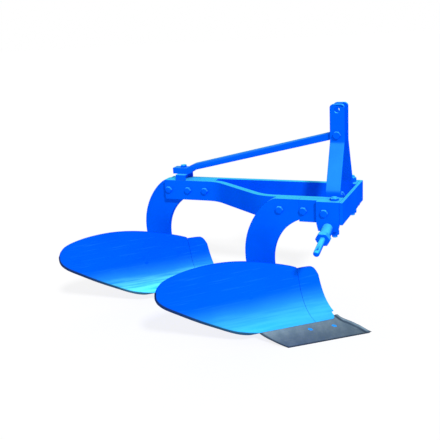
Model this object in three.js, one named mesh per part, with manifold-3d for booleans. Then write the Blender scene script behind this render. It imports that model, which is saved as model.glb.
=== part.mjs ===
// A two-furrow mounted mouldboard plough, as a scene graph of its separate pieces.
//
// Millimetres. +X is the way the plough travels, +Y is its left, +Z is up, and the
// shares and landsides stand on z = 0. While it is built, x = 0 is the point of the
// front share and y = 0 is the right face of the front leg. At the end the whole
// group moves so that its origin lies on the ground under the middle of its box.

import * as THREE from "three";
import { mergeVertices } from "three/addons/utils/BufferGeometryUtils.js";
import Module from "manifold-3d";

const wasm = await Module();
wasm.setup();

// Air left between flat faces that touch, and between a flat piece's cut end and the
// curved back of a plate. Then how far cutting tools run past their cut.
const seatGap = 0.3;
const curvedGap = 0.8;
const toolOverrun = 20;
const cutterLength = 400;

// How near two points are merged, and how far apart points are taken to find the slope
// of the working face.
const weldDistance = 0.0001;
const slopeStep = 1;

// Frame: two flat bars on edge, and the plate across their front ends.
const beamDepth = 80;
const beamThick = 25;
const beamTop = 493;
const beamBottom = beamTop - beamDepth;
const rightBeamRear = -887;
const leftBeamRear = -881;
const frontBendX = -399;
const rearBendX = -650;
const beamBendReach = 45;
const crossPlateThick = 12;
const crossPlateFront = -92;

// Bodies: how far apart the two are along the plough, and how wide each cuts.
const bodyPitch = 546;
const cutWidth = 232;

// Leg: the curved flat that hangs each body from the frame.
const legThick = 26;
const legStopX = -251;
const legTopRearX = -336;
const legRearX = -461;
const legFrontX = -354;
const legRearZ = 280;
const legFrontZ = 255;
const legNoseZ = 419;
const legSoleZ = 28;
const legSoleX = -320;
const legToeX = -120;
const legToeZ = 112;
const legToeRearX = -215;
const legRearPull = 130;
const legTopPull = 30;
const legNosePullX = 55;
const legNosePullZ = 24;
const legFrontPull = 85;
const legSolePull = 80;
const legToePull = 85;

// Working face: straight level lines that leave the shin at an angle that grows with
// height. The shin is a curve in the plane of the landside's outer face.
const landPlane = 37;
// How far the shin's edge stands out to the left of that plane at half its height, and
// the heights between which it does.
const shinProud = 6.2;
const shinProudLow = 72;
const shinProudTop = 262;
const shareAngle = 38.5;
const topAngle = 51;
const faceTop = 340;
const shinFootX = -222;
const shinFootZ = 56;
const shinMidX = -203;
const shinMidZ = 197;
const shinTopX = -206;

// Share, shin and mouldboard: plates that lie on the working face.
const plateThick = 8;
const shareHeight = 46;
const shareWidth = 200;
const shareWingExtra = 5;
const seamFoot = 66;
const seamHead = 58;
const seamBow = 9;
const seamHeight = 247;
const shinHeight = 242;
const mouldReach = 458;
const mouldHeight = 336;

// Edges of the mouldboard from its seam to its tail, as shares of its reach and height.
const topEdgeShares = [
  [0.127, 0.735],
  [0.245, 0.823],
  [0.41, 0.914],
  [0.57, 0.978],
  [0.71, 1],
  [0.84, 0.985],
  [0.93, 0.949],
  [0.981, 0.905],
  [1, 0.845],
];
const lowEdgeShares = [
  [0.144, 0.138],
  [0.386, 0.138],
  [0.508, 0.138],
  [0.592, 0.15],
  [0.694, 0.296],
  [0.825, 0.472],
  [0.925, 0.598],
  [0.977, 0.69],
  [0.999, 0.775],
];
// Top edge of the shin from the land side to the seam, as shares of the seam's reach
// and of the shin's height.
const shinTopShares = [
  [0, 0.845],
  [0.1, 0.93],
  [0.24, 0.98],
  [0.55, 0.995],
  [1, 1],
];

// Frog: the saddle behind the plates, with a web bolted to the leg's right face.
const frogThick = 10;
const frogReach = 140;
const frogLow = 30;
const frogHigh = 165;
const frogWebThick = 12;
const frogWebRearX = -368;
const frogWebTop = 120;
const frogWebLow = 34;
const frogBoltXs = [-345, -294];
const frogBoltZ = 60;

// Landside, its heel, and the stay that holds the back of the mouldboard.
const landThick = 10;
const landHeight = 82;
const landRearX = -505;
const landNoseX = -70;
const landTaper = 18;
const heelLength = 95;
const heelHeight = 58;
const heelThick = 9;
const heelSlope = 12;
const stayWidth = 34;
const stayThick = 9;
const stayPadReach = 318;
const stayPadZ = 205;
const stayPadWide = 52;
const stayPadTall = 40;
const stayFootX = -425;
const stayFootZ = 175;
const stayFootLong = 60;
const stayStandOff = 14;
const stayFootShare = 0.06;
const stayHeadShare = 0.9;
const stayCutterShare = 3;

// Fillers: spacers of the leg's thickness between the frame's plates.
const rearFillerLength = 130;

// Hitch brackets: angles bolted outside the front ends, each with one hitch pin.
const bracketLength = 80;
const bracketThick = 16;
const bracketDrop = 25;
const bracketTaper = 6;
const bracketFootThick = 12;
const bracketFootSlope = 14;
const pinX = -145;
const pinAboveFoot = 8;
const pinDroop = 14.5;
const pinBossRadius = 20;
const pinBossLength = 51;
const pinCollarWide = 46;
const pinCollarLength = 20;
const pinRadius = 11;
const pinLength = 90;
const pinTipRound = 8;
const pinTipShares = [
  [0.25, 0.33],
  [0.7, 0],
];
const pinHoleRadius = 5.5;
const pinHoleFromTip = 20;

// Mast: two bent flats that stand inside the frame and carry the top link.
const mastX = -142;
const mastWide = 52;
const mastThick = 12;
const mastTop = 808;
const mastHeadShare = 0.4467;
const mastFootBendRise = 15;
const mastFootRise = 15;
const mastSlot = 42;
const mastCorner = 16;
const mastBendReach = 8;
const topLinkHoleRadius = 9.7;
const topLinkHoleDrop = 21;
const mastBoltRise = 26;

// Brace from the mast head back to the stand over the rear leg.
const braceDeep = 24;
const braceWide = 40;
const braceEyeRadius = 20;
const braceTail = 41;
const braceJoggleAhead = 30;
const braceBendAhead = 46;
const braceBendRise = 15;
const braceStraight = 20;
const standHeight = 23;
const standWide = 44;
const standThick = 6;
const standInset = 69;

// Bolts and nuts.
const boltRadius = 8;
const boltHole = 8.6;
const boltHeadWide = 24;
const boltHeadHigh = 10;
const nutHigh = 14;
const boltTail = 5;
const clampRadius = 10;
const clampHeadWide = 28;
const clampHeadHigh = 17;
const clampLowHeadHigh = 9;
const clampNutHigh = 18;
const clampTail = 9;
const clampCrown = 7;
const clampLowCrown = 3;
const thinNutHigh = 11;
const thinNutTail = 4;
const frogBoltHeadRadius = 15;
const frogBoltHeadDeep = 7;
const legBoltX = -322;
const fillerBoltX = -235;
const rearFillerBoltX = -706;
const bracketBoltX = -156;
const clampBoltX = -127;

// Number of straight sides on round and curved work.
const shankSides = 16;
const holeSides = 16;
const curveSteps = 12;
const legSteps = 20;
const latheSides = 20;
const faceSteps = 8;
const mouldSteps = 20;
const halvings = 40;

// Places that follow from the sizes above.
const rightBeamY = legThick + seatGap;
const mastRightFootY = rightBeamY + beamThick + seatGap;
const rearLegY = cutWidth;
const rightBeamRearY = rearLegY - seatGap - beamThick;
const leftBeamY = rearLegY + legThick + seatGap;
const leftBeamOutY = leftBeamY + beamThick;
const leftFillerY = leftBeamOutY + seatGap;
const leftBracketY = leftFillerY + legThick + seatGap;
const mastMidY = (mastRightFootY - seatGap + leftBeamY) / 2;
const crossPlateRear = crossPlateFront - crossPlateThick;
const frameFront = crossPlateRear - seatGap;
const boltZ = beamBottom + beamDepth / 2;
const bracketFoot = beamBottom - bracketDrop;
const mastFootBendZ = beamTop + mastFootBendRise;
const mastBendZ = mastTop - (mastTop - mastFootBendZ) * mastHeadShare;
const mastBoltZ = mastBendZ + mastBoltRise;
const mastFootZ = beamBottom + mastFootRise;
const standX = leftBeamRear + standInset;
const standTop = beamTop + seatGap + standHeight;
const braceRearZ = standTop + seatGap + braceDeep / 2;
const braceRearY = rearLegY + legThick / 2;

const steelBlue = { color: 0x0a62f0, roughness: 0.42, metalness: 0.05 };
const bareSteel = { color: 0x6f7887, roughness: 0.5, metalness: 0.85 };

// Solids for joining and cutting.

function solid(geometry) {
  const bare = geometry.clone();
  bare.deleteAttribute("normal");
  bare.deleteAttribute("uv");
  const merged = mergeVertices(bare, weldDistance);
  return new wasm.Manifold(
    new wasm.Mesh({
      numProp: 3,
      vertProperties: new Float32Array(merged.attributes.position.array),
      triVerts: new Uint32Array(merged.index.array),
    }),
  );
}

function geometryOf(manifold) {
  const mesh = manifold.getMesh();
  const geometry = new THREE.BufferGeometry();
  const points = new THREE.BufferAttribute(new Float32Array(mesh.vertProperties), 3);
  geometry.setAttribute("position", points);
  geometry.setIndex(new THREE.BufferAttribute(new Uint32Array(mesh.triVerts), 1));
  return geometry;
}

function cut(base, ...tools) {
  return geometryOf(tools.reduce((left, tool) => left.subtract(solid(tool)), solid(base)));
}

function join(...pieces) {
  return geometryOf(pieces.slice(1).reduce((all, one) => all.add(solid(one)), solid(pieces[0])));
}

function overlap(first, second) {
  return geometryOf(solid(first).intersect(solid(second)));
}

// A named mesh of one piece.
function piece(name, geometry, look = steelBlue) {
  const mesh = new THREE.Mesh(geometry, new THREE.MeshStandardMaterial(look));
  mesh.name = name;
  return mesh;
}

function at(object, x, y, z) {
  object.position.set(x, y, z);
  return object;
}

// A box given by its lowest and highest corners.
function block(low, high) {
  const size = high.map((value, axis) => value - low[axis]);
  const middle = high.map((value, axis) => (value + low[axis]) / 2);
  return new THREE.BoxGeometry(...size).translate(...middle);
}

// A round hole in a shape.
function circlePath(x, y, radius) {
  const path = new THREE.Path();
  path.absarc(x, y, radius, 0, 2 * Math.PI, true);
  return new THREE.Path(path.getPoints(holeSides / 2).slice(0, -1));
}

// A plate whose outline lies in the XZ plane, thick from y to y + thick.
function sidePlate(shape, y, thick, steps = curveSteps) {
  const settings = { depth: thick, bevelEnabled: false, curveSegments: steps };
  return new THREE.ExtrudeGeometry(shape, settings).rotateX(Math.PI / 2).translate(0, y + thick, 0);
}

// A bar whose section lies in the YZ plane, long from x to x + length.
function endBar(shape, x, length) {
  const settings = { depth: length, bevelEnabled: false, curveSegments: curveSteps };
  return new THREE.ExtrudeGeometry(shape, settings)
    .rotateX(Math.PI / 2)
    .rotateZ(Math.PI / 2)
    .translate(x, 0, 0);
}

// A plate whose outline lies in the XY plane, high from z to z + height.
function flatPlate(shape, z, height) {
  const settings = { depth: height, bevelEnabled: false, curveSegments: curveSteps };
  return new THREE.ExtrudeGeometry(shape, settings).translate(0, 0, z);
}

function polygon(points) {
  return new THREE.Shape(points.map(([x, y]) => new THREE.Vector2(x, y)));
}

// Round rods along Y and along Z, given by their lower end.
function rodY(x, y, z, radius, length, sides = shankSides) {
  return new THREE.CylinderGeometry(radius, radius, length, sides).translate(x, y + length / 2, z);
}

function rodZ(x, y, z, radius, length, sides = shankSides) {
  return new THREE.CylinderGeometry(radius, radius, length, sides)
    .rotateX(Math.PI / 2)
    .translate(x, y, z + length / 2);
}

// Working face. The shin is a curve in x and z, and reach is the distance to the
// right of the landside's outer face.

const shinCurve = new THREE.CubicBezierCurve(
  new THREE.Vector2(0, 0),
  new THREE.Vector2(shinFootX, shinFootZ),
  new THREE.Vector2(shinMidX, shinMidZ),
  new THREE.Vector2(shinTopX, faceTop),
);

// The shin's x at a height, found by halving the curve. Below the ground it runs on
// straight, in the direction in which it starts.
function shinX(z) {
  if (z <= 0) return (z * shinFootX) / shinFootZ;
  let low = 0;
  let high = 1;
  for (let step = 0; step < halvings; step += 1) {
    const middle = (low + high) / 2;
    if (shinCurve.getPoint(middle).y < z) low = middle;
    else high = middle;
  }
  return shinCurve.getPoint((low + high) / 2).x;
}

function spread(z) {
  const angle = shareAngle + ((topAngle - shareAngle) * z) / faceTop;
  return 1 / Math.tan(THREE.MathUtils.degToRad(angle));
}

function facePoint(reach, z) {
  return new THREE.Vector3(shinX(z) - reach * spread(z), landPlane - reach, z);
}

// The direction straight out of the working face, towards the soil.
function faceNormal(reach, z) {
  const along = facePoint(reach - slopeStep, z).sub(facePoint(reach + slopeStep, z));
  const up = facePoint(reach, z + slopeStep).sub(facePoint(reach, z - slopeStep));
  return along.cross(up).normalize();
}

// A point at a depth behind the working face. Behind the mouldboard the way in is
// square to the face. Behind the share it turns level towards the cutting edge, so
// that the share's underside lies flat on the ground.
function behindFace(reach, z, depth) {
  const normal = faceNormal(reach, z);
  const square = normal.clone().negate();
  const level = new THREE.Vector3(-normal.x, -normal.y, 0);
  level.divideScalar(level.lengthSq());
  const share = THREE.MathUtils.clamp(z / shareHeight, 0, 1);
  return facePoint(reach, z).addScaledVector(level.lerp(square, share), depth);
}

// A plate on the working face: outline gives the reach and height at the plate's own
// across and up, each from 0 to 1, and the plate is solid between two depths.
function facePlate(across, up, outline, front, back) {
  const box = new THREE.BoxGeometry(1, 1, 1, across, up, 1);
  const points = box.attributes.position;
  for (let index = 0; index < points.count; index += 1) {
    const [reach, z] = outline(points.getX(index) + 0.5, points.getY(index) + 0.5);
    const depth = front + (back - front) * (points.getZ(index) + 0.5);
    const place = behindFace(reach, z, depth);
    points.setXYZ(index, place.x, place.y, place.z);
  }
  return box;
}

function splineOf(shares, wide, high) {
  return new THREE.SplineCurve(shares.map(([x, y]) => new THREE.Vector2(x * wide, y * high)));
}

const topEdge = splineOf(topEdgeShares, mouldReach, mouldHeight);
const lowEdge = splineOf(lowEdgeShares, mouldReach, mouldHeight);

const seamBottom = shareHeight + seatGap;

// The seam between shin and mouldboard: its reach at a height.
function seamReach(z) {
  const up = (z - seamBottom) / (seamHeight - seamBottom);
  return seamFoot + (seamHead - seamFoot) * up - seamBow * 4 * up * (1 - up);
}

function mouldOutline(across, up) {
  const top = topEdge.getPoint(across);
  const low = lowEdge.getPoint(across);
  const reach = low.x + (top.x - low.x) * up;
  const z = low.y + (top.y - low.y) * up;
  const seamEnd = (1 - across) ** 4;
  const seamZ = seamBottom + (seamHeight - seamBottom) * up;
  return [
    reach + (seamReach(seamZ) + curvedGap - reach) * seamEnd,
    Math.max(z + (seamZ - z) * seamEnd, across < 1 ? seamBottom * (1 - up) : 0),
  ];
}

const shinTopEdge = splineOf(shinTopShares, 1, shinHeight);

function shinOutline(across, up) {
  const top = shinTopEdge.getPoint(across);
  const z = seamBottom + (top.y - seamBottom) * up;
  const proud = proudAt(z);
  return [top.x * (seamReach(z) + proud) - proud, z];
}

// How far the shin's edge stands out of the land plane at a height: half a sine wave.
function proudAt(z) {
  const share = THREE.MathUtils.clamp((z - shinProudLow) / (shinProudTop - shinProudLow), 0, 1);
  return shinProud * Math.sin(Math.PI * share);
}

function shareOutline(across, up) {
  return [across * (shareWidth + shareWingExtra * up), shareHeight * up];
}

function makeMouldboard() {
  return facePlate(mouldSteps, faceSteps, mouldOutline, 0, plateThick);
}

function makeShin() {
  return cut(facePlate(faceSteps / 2, faceSteps, shinOutline, 0, plateThick), leftOfShin());
}

function makeShare() {
  return cut(facePlate(faceSteps / 2, faceSteps / 2, shareOutline, 0, plateThick), leftOf(landPlane));
}

// Everything of a body to the left of a plane.
function leftOf(y) {
  return block([-cutterLength, y, -toolOverrun], [cutterLength, y + landPlane, faceTop]);
}

// Everything to the left of the shin's edge.
function leftOfShin() {
  const tall = faceTop + toolOverrun;
  const box = new THREE.BoxGeometry(2 * cutterLength, 1, tall, 1, 1, faceSteps)
    .translate(0, 0, faceTop - tall / 2);
  const points = box.attributes.position;
  for (let index = 0; index < points.count; index += 1) {
    const side = points.getY(index) < 0 ? 1 : 2;
    points.setY(index, side * landPlane + proudAt(points.getZ(index)));
  }
  return box;
}

// What lies in front of a depth behind the working face: a block that runs straight
// ahead from that depth.
function aheadOf(across, up, outline, depth) {
  const box = new THREE.BoxGeometry(1, 1, 1, across, up, 1);
  const points = box.attributes.position;
  for (let index = 0; index < points.count; index += 1) {
    const [reach, z] = outline(points.getX(index) + 0.5, points.getY(index) + 0.5);
    const place = behindFace(reach, z, depth);
    place.x += cutterLength * (0.5 - points.getZ(index));
    points.setXYZ(index, place.x, place.y, place.z);
  }
  return box;
}

// The same near the landside, to cut pieces that stand behind the shin.
function landCutter(depth) {
  const outline = (across, up) => [
    landPlane - legThick - 2 * frogWebThick + (legThick + 4 * frogWebThick) * across,
    (faceTop + toolOverrun) * up - toolOverrun,
  ];
  return aheadOf(faceSteps / 2, 3 * faceSteps, outline, depth);
}

const behindPlates = plateThick + curvedGap;
const behindFrog = behindPlates + frogThick;

function legShape() {
  const shape = new THREE.Shape();
  shape.moveTo(legSoleX, legSoleZ);
  shape.lineTo(legToeX, legSoleZ);
  shape.lineTo(legToeX, legToeZ);
  shape.lineTo(legToeRearX, legToeZ);
  shape.bezierCurveTo(
    legToeRearX - legToePull,
    legToeZ,
    legFrontX,
    legFrontZ - legToePull,
    legFrontX,
    legFrontZ,
  );
  shape.bezierCurveTo(
    legFrontX,
    legFrontZ + legFrontPull,
    legStopX - legNosePullX,
    legNoseZ - legNosePullZ,
    legStopX,
    legNoseZ,
  );
  shape.lineTo(legStopX, beamTop);
  shape.lineTo(legTopRearX, beamTop);
  shape.bezierCurveTo(
    legTopRearX - legTopPull,
    beamTop,
    legRearX,
    legRearZ + legRearPull,
    legRearX,
    legRearZ,
  );
  shape.bezierCurveTo(
    legRearX,
    legRearZ - legRearPull,
    legSoleX - legSolePull,
    legSoleZ,
    legSoleX,
    legSoleZ,
  );
  shape.holes.push(circlePath(legBoltX, boltZ, boltHole));
  frogBoltXs.forEach((x) => shape.holes.push(circlePath(x, frogBoltZ, boltHole)));
  return shape;
}

function makeLeg() {
  return cut(sidePlate(legShape(), 0, legThick, legSteps), landCutter(behindFrog + curvedGap));
}

function makeFrog() {
  const saddleOutline = (across, up) => [
    landPlane - legThick + (frogReach - landPlane + legThick) * across,
    frogLow + (frogHigh - frogLow) * up,
  ];
  const saddle = facePlate(faceSteps / 2, faceSteps, saddleOutline, behindPlates, behindPlates + frogThick);
  const web = polygon([
    [frogWebRearX, frogWebLow],
    [legToeX, frogWebLow],
    [legToeX, frogWebTop],
    [legToeRearX, frogWebTop],
    [frogWebRearX, (frogWebTop + frogWebLow) / 2],
  ]);
  frogBoltXs.forEach((x) => web.holes.push(circlePath(x, frogBoltZ, boltHole)));
  const webPlate = sidePlate(web, -seatGap - frogWebThick, frogWebThick);
  return join(cut(saddle, leftOf(legThick)), cut(webPlate, landCutter(behindPlates + frogThick / 2)));
}

function makeLandside() {
  const shape = polygon([
    [landRearX, 0],
    [landNoseX, 0],
    [landNoseX, landHeight],
    [landRearX + landTaper, landHeight],
    [landRearX, landHeight - landTaper],
  ]);
  const y = legThick + seatGap;
  const plate = sidePlate(shape, y, landThick);
  const sinks = frogBoltXs.map((x) => sinkTool(x, y + landThick));
  return cut(plate, landCutter(behindPlates), ...sinks);
}

// A countersunk hole through the landside, from its outer face.
function sinkTool(x, outerY) {
  const cone = frogBoltHead(seatGap).translate(x, outerY, frogBoltZ);
  const shaft = rodY(x, outerY - toolOverrun, frogBoltZ, boltHole, toolOverrun);
  return join(cone, shaft);
}

function frogBoltHead(room) {
  const head = frogBoltHeadRadius + room;
  return new THREE.CylinderGeometry(head, boltRadius + room, frogBoltHeadDeep + room, shankSides)
    .translate(0, -(frogBoltHeadDeep + room) / 2, 0);
}

function makeFrogBolt() {
  const reachIn = landThick + legThick + frogWebThick + 2 * seatGap + nutHigh + seatGap + boltTail;
  return join(frogBoltHead(0), rodY(0, -reachIn, 0, boltRadius, reachIn - frogBoltHeadDeep / 2));
}

function makeHeel() {
  const shape = polygon([
    [landRearX, 0],
    [landRearX + heelLength, 0],
    [landRearX + heelLength - heelSlope, heelHeight],
    [landRearX + heelSlope, heelHeight],
  ]);
  return sidePlate(shape, legThick - heelThick, heelThick);
}

// The stay: a flat from the leg's right face to a pad behind the mouldboard.
function makeStay() {
  const padOutline = (across, up) => [
    stayPadReach + stayPadWide * (across - 0.5),
    stayPadZ + stayPadTall * (up - 0.5),
  ];
  const pad = facePlate(faceSteps / 4, faceSteps / 4, padOutline, behindPlates, behindPlates + stayThick);
  const footY = -seatGap - stayThick;
  const foot = block(
    [stayFootX - stayFootLong / 2, footY, stayFootZ - stayWidth / 2],
    [stayFootX + stayFootLong / 2, footY + stayThick, stayFootZ + stayWidth / 2],
  );
  const start = new THREE.Vector3(stayFootX, footY + stayThick / 2, stayFootZ);
  const end = behindFace(stayPadReach, stayPadZ, behindPlates + stayThick / 2);
  const lean = behindFace(stayPadReach, stayPadZ, behindPlates + stayThick / 2 + stayStandOff);
  const path = new THREE.CatmullRomCurve3([
    start,
    start.clone().lerp(lean, stayFootShare).setY(start.y - stayStandOff / 4),
    start.clone().lerp(lean, stayHeadShare),
    end,
  ]);
  const section = polygon([
    [-stayWidth / 2, -stayThick / 2],
    [stayWidth / 2, -stayThick / 2],
    [stayWidth / 2, stayThick / 2],
    [-stayWidth / 2, stayThick / 2],
  ]);
  const bar = new THREE.ExtrudeGeometry(section, { steps: curveSteps, extrudePath: path });
  const clear = block(
    [stayFootX - stayFootLong, -seatGap, stayFootZ - stayFootLong],
    [stayFootX + stayFootLong, toolOverrun, stayFootZ + stayFootLong],
  );
  return cut(join(foot, bar, pad), clear, mouldCutter());
}

// What lies in front of the back of the mouldboard, around the stay's pad.
function mouldCutter() {
  const outline = (across, up) => [
    stayPadReach + (across - 0.5) * stayPadWide * stayCutterShare,
    stayPadZ + (up - 0.5) * stayPadTall * stayCutterShare,
  ];
  return aheadOf(faceSteps / 2, faceSteps / 2, outline, behindPlates);
}

// Frame pieces.

// The right beam seen from above: a strip of even thickness along a bent line.
function rightBeamShape() {
  const frontY = rightBeamY + beamThick / 2;
  const rearY = rightBeamRearY + beamThick / 2;
  const corners = [
    [frameFront, frontY],
    [frontBendX, frontY],
    [rearBendX, rearY],
    [rightBeamRear, rearY],
  ];
  return stripShape(corners, beamThick, beamBendReach);
}

// A strip of even thickness along a bent line, whose bends begin at a reach from
// their corner.
function stripShape(corners, thick, bendReach) {
  const line = roundedLine(corners, bendReach);
  const left = line.map((point, index) => offsetPoint(line, index, point, thick / 2));
  const right = line.map((point, index) => offsetPoint(line, index, point, -thick / 2));
  return new THREE.Shape([...left, ...right.reverse()]);
}

// A line through corners, each corner rounded with an arc-like curve.
function roundedLine(corners, bendReach) {
  const points = corners.map(([x, y]) => new THREE.Vector2(x, y));
  const line = [points[0]];
  for (let index = 1; index < points.length - 1; index += 1) {
    const before = points[index - 1].clone().sub(points[index]);
    const after = points[index + 1].clone().sub(points[index]);
    const reach = Math.min(bendReach, before.length() / 2, after.length() / 2);
    before.setLength(reach);
    after.setLength(reach);
    const bend = new THREE.QuadraticBezierCurve(
      points[index].clone().add(before),
      points[index],
      points[index].clone().add(after),
    );
    line.push(...bend.getPoints(curveSteps / 2));
  }
  line.push(points[points.length - 1]);
  return line;
}

// A point moved square to the line, at a bend far enough to keep the strip even.
function offsetPoint(line, index, point, distance) {
  const ahead = line[Math.min(index + 1, line.length - 1)].clone();
  const behind = line[Math.max(index - 1, 0)].clone();
  const inward = point.clone().sub(behind).normalize();
  const outward = ahead.sub(point).normalize();
  const way = inward.add(outward).normalize();
  return new THREE.Vector2(point.x + way.y * distance, point.y - way.x * distance);
}

function makeRightBeam() {
  const bolts = [legBoltX, fillerBoltX, bracketBoltX].map((x) =>
    rodY(x, 0, boltZ, boltHole, cutWidth / 2, holeSides),
  );
  const rearBolts = rearBoltXs().map((x) => rodY(x, cutWidth / 2, boltZ, boltHole, cutWidth, holeSides));
  return cut(flatPlate(rightBeamShape(), beamBottom, beamDepth), ...bolts, ...rearBolts);
}

function rearBoltXs() {
  return [legBoltX - bodyPitch, fillerBoltX - bodyPitch, rearFillerBoltX];
}

// A straight flat on edge with holes through its side.
function straightBar(rear, front, y, thick, holes) {
  const shape = polygon([
    [rear, beamBottom],
    [front, beamBottom],
    [front, beamTop],
    [rear, beamTop],
  ]);
  holes.forEach((x) => shape.holes.push(circlePath(x, boltZ, boltHole)));
  return sidePlate(shape, y, thick);
}

function makeLeftBeam() {
  const holes = [...rearBoltXs(), bracketBoltX];
  return straightBar(leftBeamRear, frameFront, leftBeamY, beamThick, holes);
}

function makeCrossPlate() {
  const right = -seatGap - bracketThick;
  const left = leftBracketY + bracketThick;
  return block([crossPlateRear, right, beamBottom], [crossPlateFront, left, beamTop]);
}

// The upright hole of the clamp bolt through a front filler.
function clampHole(y) {
  const hole = clampRadius + boltHole - boltRadius;
  return rodZ(clampBoltX, y, bracketFoot - toolOverrun, hole, beamTop, holeSides);
}

function makeRightFiller() {
  const bar = straightBar(legStopX + seatGap, frameFront, 0, legThick, [fillerBoltX, bracketBoltX]);
  return cut(bar, clampHole(legThick / 2));
}

function makeLeftFiller() {
  const rear = frameFront - bracketLength;
  const bar = straightBar(rear, frameFront, leftFillerY, legThick, [bracketBoltX]);
  return cut(bar, clampHole(leftFillerY + legThick / 2));
}

function makeRearFiller() {
  const rear = legStopX - bodyPitch + seatGap;
  const holes = [fillerBoltX - bodyPitch, rearFillerBoltX];
  return straightBar(rear, rear + rearFillerLength, rearLegY, legThick, holes);
}

// Hitch brackets. Each is an angle with its upright outside and its foot under the
// frame. side is -1 on the right and 1 on the left, and face is the y that the
// upright's inner side seats on.
function makeBracket(face, side) {
  const inner = face + side * seatGap;
  const outer = inner + side * bracketThick;
  const footEnd = face - side * legThick;
  const rear = frameFront - bracketLength;
  const shape = polygon([
    [rear + bracketTaper, bracketFoot],
    [frameFront - bracketTaper, bracketFoot],
    [frameFront, beamBottom],
    [frameFront, beamTop],
    [rear, beamTop],
    [rear, beamBottom],
  ]);
  const upright = sidePlate(shape, Math.min(inner, outer), bracketThick);
  const footShape = polygon([
    [rear + bracketTaper, inner],
    [frameFront - bracketTaper, inner],
    [frameFront - bracketTaper - bracketFootSlope, footEnd],
    [rear + bracketTaper, footEnd],
  ]);
  const foot = flatPlate(footShape, bracketFoot, bracketFootThick);
  const boltTool = rodY(bracketBoltX, Math.min(inner, outer) - toolOverrun, boltZ, boltHole,
    bracketThick + 2 * toolOverrun, holeSides);
  return cut(join(upright, foot), boltTool, clampHole(face - side * legThick / 2));
}

// A hitch pin along +Y from the origin: boss, six-sided collar, and a pin with a
// rounded end and a hole for a linch pin. Its inner end runs on to be cut off.
function pinBlank() {
  const end = pinBossLength + pinCollarLength + pinLength;
  const profile = [
    [0, -toolOverrun],
    [pinBossRadius, -toolOverrun],
    [pinBossRadius, pinBossLength + pinCollarLength / 2],
    [pinRadius, pinBossLength + pinCollarLength / 2],
    [pinRadius, end - pinTipRound],
    ...pinTipShares.map(([inward, back]) => [
      pinRadius - pinTipRound * inward,
      end - pinTipRound * back,
    ]),
    [0, end],
  ].map(([x, y]) => new THREE.Vector2(x, y));
  const shaft = new THREE.LatheGeometry(profile, latheSides);
  const corner = pinCollarWide / Math.sqrt(3);
  const collar = new THREE.CylinderGeometry(corner, corner, pinCollarLength, 6)
    .translate(0, pinBossLength + pinCollarLength / 2, 0);
  const hole = rodZ(0, end - pinHoleFromTip, -toolOverrun, pinHoleRadius, 2 * toolOverrun, latheSides / 2);
  return cut(join(shaft, collar), hole);
}

function makePin(face, side) {
  const outer = face + side * (seatGap + bracketThick);
  const tilt = -side * THREE.MathUtils.degToRad(pinDroop);
  const pin = pinBlank();
  if (side < 0) pin.rotateX(Math.PI);
  pin.rotateX(tilt).translate(pinX, outer, bracketFoot + pinAboveFoot);
  const reach = pinBossLength;
  const clear = block(
    [pinX - reach, Math.min(outer + side * seatGap, outer - side * reach), 0],
    [pinX + reach, Math.max(outer + side * seatGap, outer - side * reach), beamTop],
  );
  return cut(pin, clear);
}

// A mast leg: a bent strip seen from the front, rounded and drilled seen from the
// side. foot is the y of the frame face it stands against, side points to that face.
function makeMastLeg(foot, side) {
  const head = mastMidY + (side * (mastSlot + mastThick)) / 2;
  const footMiddle = foot - (side * mastThick) / 2;
  const corners = [
    [head, mastTop],
    [head, mastBendZ],
    [footMiddle, mastFootBendZ],
    [footMiddle, mastFootZ],
  ];
  const shape = stripShape(corners, mastThick, mastBendReach);
  const strip = endBar(shape, mastX - mastWide / 2, mastWide);
  return overlap(strip, sidePlate(mastSilhouette(), 0, leftBeamOutY));
}

function mastSilhouette() {
  const rear = mastX - mastWide / 2 - seatGap;
  const front = mastX + mastWide / 2 + seatGap;
  const shape = new THREE.Shape();
  shape.moveTo(rear, mastFootZ - toolOverrun);
  shape.lineTo(front, mastFootZ - toolOverrun);
  shape.lineTo(front, mastTop - mastCorner);
  shape.quadraticCurveTo(front, mastTop, front - mastCorner, mastTop);
  shape.lineTo(rear + mastCorner, mastTop);
  shape.quadraticCurveTo(rear, mastTop, rear, mastTop - mastCorner);
  shape.holes.push(circlePath(mastX, mastTop - topLinkHoleDrop, topLinkHoleRadius));
  shape.holes.push(circlePath(mastX, mastBoltZ, boltHole));
  shape.holes.push(circlePath(bracketBoltX, boltZ, boltHole));
  return shape;
}

// The brace: a bar from an eye between the mast heads to a level end on the stand.
function makeBrace() {
  const eyeLength = mastSlot - 2 * seatGap;
  const eye = rodY(mastX, mastMidY - eyeLength / 2, mastBoltZ, braceEyeRadius, eyeLength);
  const eyeHole = rodY(mastX, mastMidY - mastSlot, mastBoltZ, boltHole, 2 * mastSlot, holeSides);
  const endHole = rodZ(standX, braceRearY, standTop, boltHole, 2 * braceDeep, holeSides);
  return cut(join(eye, braceBar()), eyeHole, endHole);
}

// Seen from the side the bar has a level end, a short joggle and a long slope. Seen
// from above it is straight along its level end, leans over to the mast, and is
// straight again between the mast heads.
function braceBar() {
  const bendX = standX + braceBendAhead;
  const bendZ = braceRearZ + braceBendRise;
  const leanEnd = mastX - mastWide / 2 - braceStraight;
  const leanEndShare = (leanEnd - bendX) / (mastX - bendX);
  const corners = [
    [mastX, mastBoltZ],
    [leanEnd, bendZ + (mastBoltZ - bendZ) * leanEndShare],
    [bendX, bendZ],
    [standX + braceJoggleAhead, braceRearZ],
    [standX - braceTail, braceRearZ],
  ];
  const shape = stripShape(corners, braceDeep, braceDeep);
  const bar = sidePlate(shape, braceRearY - braceWide / 2, braceWide);
  const points = bar.attributes.position;
  for (let index = 0; index < points.count; index += 1) {
    const along = THREE.MathUtils.clamp((points.getX(index) - bendX) / (leanEnd - bendX), 0, 1);
    points.setY(index, points.getY(index) + (mastMidY - braceRearY) * along);
  }
  return bar;
}

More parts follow.
